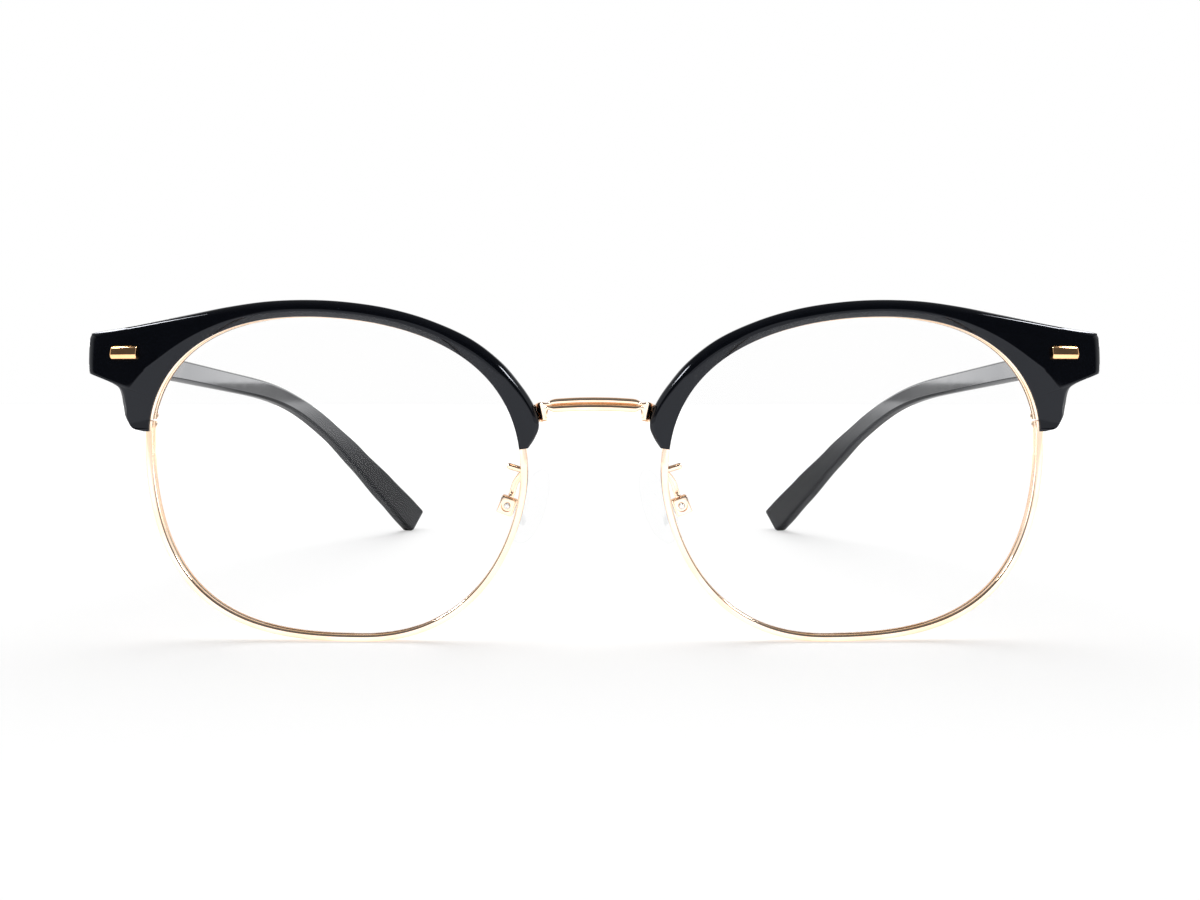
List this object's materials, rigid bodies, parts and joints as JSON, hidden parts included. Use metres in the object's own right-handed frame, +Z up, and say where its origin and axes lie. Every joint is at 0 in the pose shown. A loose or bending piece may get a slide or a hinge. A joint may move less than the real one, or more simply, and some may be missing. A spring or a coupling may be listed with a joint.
{
  "type": "eyeglass frame",
  "caption": "Browline eyeglass frame with gold full rims and bridge, glossy black brow pieces and temples, clear lenses, folding temples and nose pads that rock on their boxes.",
  "frame": {"origin": "on the ground under the middle of the whole frame, where the rim bottoms and temple tips rest", "axes": "+X to the wearer's left, +Y from the front back along the temples, +Z up"},
  "size_m": [0.1426, 0.1426, 0.0471],
  "materials": {
    "black_plastic": "polished moulded plastic with a deep gloss",
    "gold_metal": "polished pale gold plating",
    "steel_metal": "turned steel, polished heads",
    "lens_clear": "clear uncoated demo lens",
    "insert_clear": "clear hard moulded insert inside the pad",
    "pad_silicone": "clear soft silicone"
  },
  "bodies": {
    "front": {"bridge": "gold_metal", "left_rim": "gold_metal", "left_rim_lock_upper": "gold_metal", "left_rim_lock_lower": "gold_metal", "left_rim_lock_screw": "steel_metal", "left_lens": "lens_clear", "left_brow": "black_plastic", "left_rivet_plate": "gold_metal", "left_brow_tab_nasal": "gold_metal", "left_brow_tab_outer": "gold_metal", "left_brow_screw_nasal": "steel_metal", "left_brow_screw_outer": "steel_metal", "left_hinge_front_leaf": "gold_metal", "left_hinge_screw": "steel_metal", "left_pad_arm": "gold_metal", "left_pad_box": "gold_metal", "left_pad_screw": "steel_metal", "right_rim": "gold_metal", "right_rim_lock_upper": "gold_metal", "right_rim_lock_lower": "gold_metal", "right_rim_lock_screw": "steel_metal", "right_lens": "lens_clear", "right_brow": "black_plastic", "right_rivet_plate": "gold_metal", "right_brow_tab_nasal": "gold_metal", "right_brow_tab_outer": "gold_metal", "right_brow_screw_nasal": "steel_metal", "right_brow_screw_outer": "steel_metal", "right_hinge_front_leaf": "gold_metal", "right_hinge_screw": "steel_metal", "right_pad_arm": "gold_metal", "right_pad_box": "gold_metal", "right_pad_screw": "steel_metal"},
    "left_temple_body": {"left_hinge_temple_leaf": "gold_metal", "left_temple_rivet_front": "steel_metal", "left_temple_rivet_rear": "steel_metal", "left_temple": "black_plastic"},
    "right_temple_body": {"right_hinge_temple_leaf": "gold_metal", "right_temple_rivet_front": "steel_metal", "right_temple_rivet_rear": "steel_metal", "right_temple": "black_plastic"},
    "left_pad_body": {"left_pad_mount": "insert_clear", "left_nose_pad": "pad_silicone"},
    "right_pad_body": {"right_pad_mount": "insert_clear", "right_nose_pad": "pad_silicone"}
  },
  "joints": [
    {"name": "left_temple_hinge", "type": "hinge", "parent": "front", "child": "left_temple_body", "pos_m": [0.0661, -0.06124, 0.03954], "axis": [0, 0.078, 0.997], "range_deg": [0, 80]},
    {"name": "right_temple_hinge", "type": "hinge", "parent": "front", "child": "right_temple_body", "pos_m": [-0.0661, -0.06124, 0.03954], "axis": [0, -0.078, -0.997], "range_deg": [0, 74]},
    {"name": "left_pad_rock", "type": "hinge", "parent": "front", "child": "left_pad_body", "pos_m": [0.01235, -0.06436, 0.0183], "axis": [0, 1, 0], "range_deg": [-12, 12]},
    {"name": "right_pad_rock", "type": "hinge", "parent": "front", "child": "right_pad_body", "pos_m": [-0.01235, -0.06436, 0.0183], "axis": [0, -1, 0], "range_deg": [-12, 12]}
  ]
}
